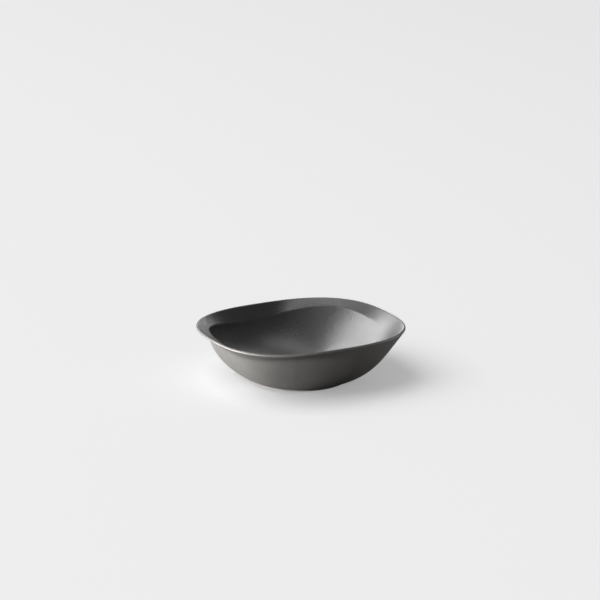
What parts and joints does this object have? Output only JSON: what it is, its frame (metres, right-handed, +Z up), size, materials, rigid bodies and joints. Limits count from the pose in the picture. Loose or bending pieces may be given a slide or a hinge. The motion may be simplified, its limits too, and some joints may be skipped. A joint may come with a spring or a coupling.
{
  "type": "bowl",
  "caption": "Shallow rounded-square side bowl in matt glazed stoneware, with a sloping band inside the rim, a soft shoulder line that fades on two sides, and a bare foot ring.",
  "frame": {"origin": "on the table under the middle of the rim", "axes": "+X along the long way of the rim, +Y along its short way, +Z up"},
  "size_m": [0.1548, 0.1382, 0.0413],
  "materials": {
    "clay": "bare fired clay",
    "glaze": "satin matt dark grey"
  },
  "bodies": {
    "root": {"clay_body": "clay", "inside_glaze": "glaze", "outside_glaze": "glaze", "base_glaze": "glaze"}
  },
  "joints": []
}
